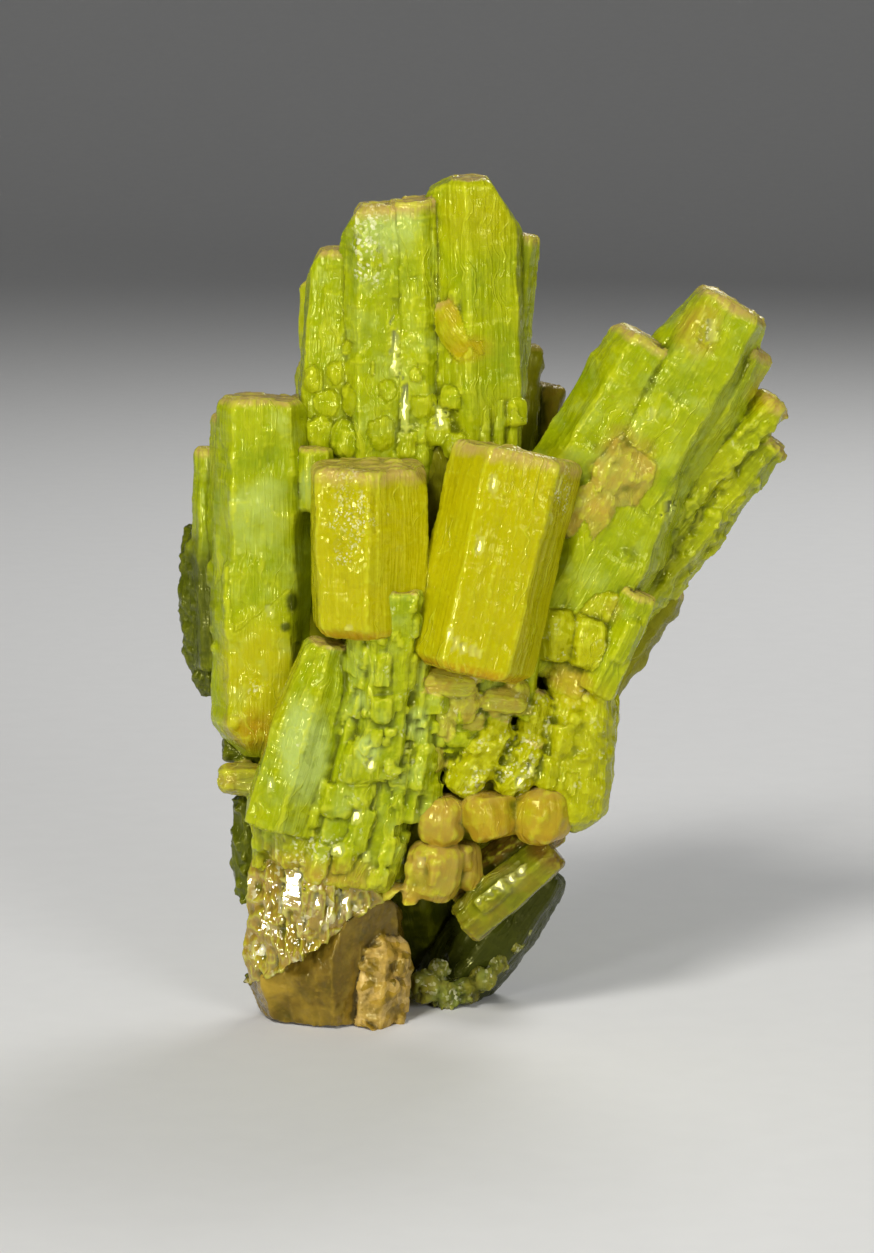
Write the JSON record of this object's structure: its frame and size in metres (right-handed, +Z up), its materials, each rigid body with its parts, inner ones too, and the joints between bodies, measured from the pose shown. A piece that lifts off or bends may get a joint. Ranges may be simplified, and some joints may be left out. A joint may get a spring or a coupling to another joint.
{
  "type": "pyromorphite specimen",
  "caption": "Yellow-green cluster of stout fused six-sided crystals fanning out from a small brown matrix stub, standing on a flat break.",
  "frame": {"origin": "middle of the flat break under the matrix that the specimen stands on", "axes": "+Z up along the tall middle sheaf, -Y out of the front, +X towards the leaning sheaf on the right"},
  "size_m": [0.0274, 0.0179, 0.0381],
  "materials": {
    "crystal": "resinous, waxy gloss with rougher patches and pinkish-tan ends",
    "matrix": "iron-stained rock, smooth to granular"
  },
  "bodies": {
    "root": {"pyromorphite_crystals": "crystal", "matrix_stub": "matrix"}
  },
  "joints": []
}
